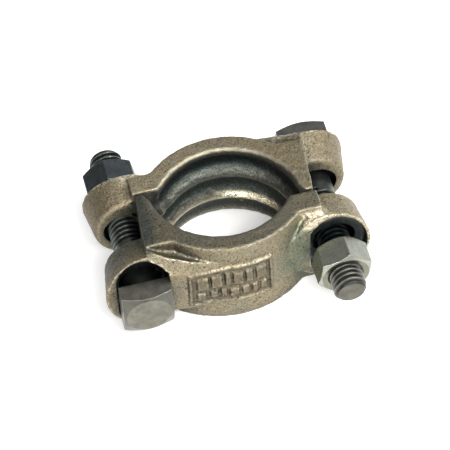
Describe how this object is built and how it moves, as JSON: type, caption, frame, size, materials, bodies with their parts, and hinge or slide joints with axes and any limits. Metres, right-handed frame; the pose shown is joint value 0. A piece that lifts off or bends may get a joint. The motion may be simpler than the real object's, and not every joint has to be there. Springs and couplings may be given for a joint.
{
  "type": "double bolt pipe repair clamp",
  "caption": "Cast clamp whose ribbed halves close round a hose or pipe, drawn together by square-head bolts and hex nuts through side lugs.",
  "frame": {"origin": "centre of the bore, half way up its height and half way between the two bolts", "axes": "+Z along the bore, +X from the left bolt to the right bolt, +Y the way the halves part, from the front half to the back half"},
  "size_m": [0.0776, 0.0646, 0.0286],
  "materials": {
    "casting": "rough as-cast malleable iron with a thin zinc plate, olive grey",
    "bolt_steel": "zinc plated, satin",
    "nut_steel": "zinc plated, satin"
  },
  "bodies": {
    "front_half": {"clamp_half_front": "casting", "left_bolt": "bolt_steel"},
    "back_half": {"clamp_half_back": "casting", "right_bolt": "bolt_steel"},
    "left_nut": {"left_nut": "nut_steel"},
    "right_nut": {"right_nut": "nut_steel"}
  },
  "joints": [
    {"name": "halves_part", "type": "slide", "parent": "front_half", "child": "back_half", "axis": [0, 1, 0], "range_m": [0, 0.0055]},
    {"name": "left_nut_turn", "type": "hinge", "parent": "back_half", "child": "left_nut", "pos_m": [-0.028, 0.022, -0.0009], "axis": [0, 1, 0], "range_deg": [0, 1250]},
    {"name": "right_nut_turn", "type": "hinge", "parent": "front_half", "child": "right_nut", "pos_m": [0.028, -0.022, -0.0009], "axis": [0, -1, 0], "range_deg": [0, 1250]}
  ],
  "couplings": [
    {"joint": "left_nut_turn", "follows": "halves_part", "rad_per_m": 3957.9},
    {"joint": "right_nut_turn", "follows": "halves_part", "rad_per_m": 3957.9}
  ]
}
